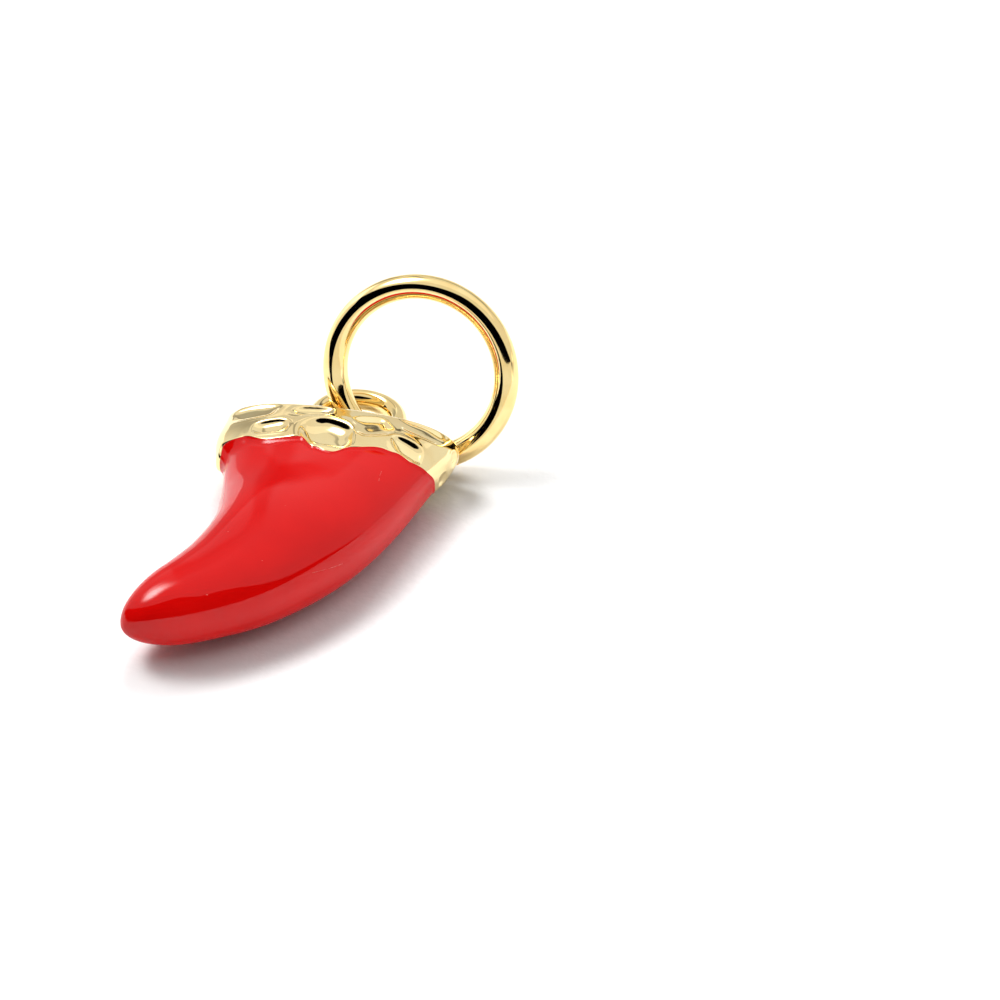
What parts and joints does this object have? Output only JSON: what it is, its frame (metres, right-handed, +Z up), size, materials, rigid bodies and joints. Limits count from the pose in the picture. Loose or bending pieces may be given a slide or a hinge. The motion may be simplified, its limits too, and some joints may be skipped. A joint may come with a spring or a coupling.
{
  "type": "enamel fang charm",
  "caption": "Small curved fang charm in glossy red enamel, with a dented gold cap band, a hollow open end and a wire eye that carries a round jump ring.",
  "frame": {"origin": "on the table under the middle of the whole charm's box, as it lies on its back", "axes": "+Y from the fang's tip towards the open mouth and the ring, +X across the mouth, with the tip curved towards -X, +Z up, out of the dented front"},
  "size_m": [0.0126, 0.0172, 0.0074],
  "materials": {
    "cast_gold": "pale gold plating on cast brass, polished outside and matte in the hollow",
    "red_enamel": "glossy opaque red enamel, poured and cured smooth",
    "ring_gold": "pale gold plating on drawn brass wire, polished"
  },
  "bodies": {
    "root": {"gold_casting": "cast_gold", "red_enamel": "red_enamel", "jump_ring": "ring_gold"}
  },
  "joints": []
}
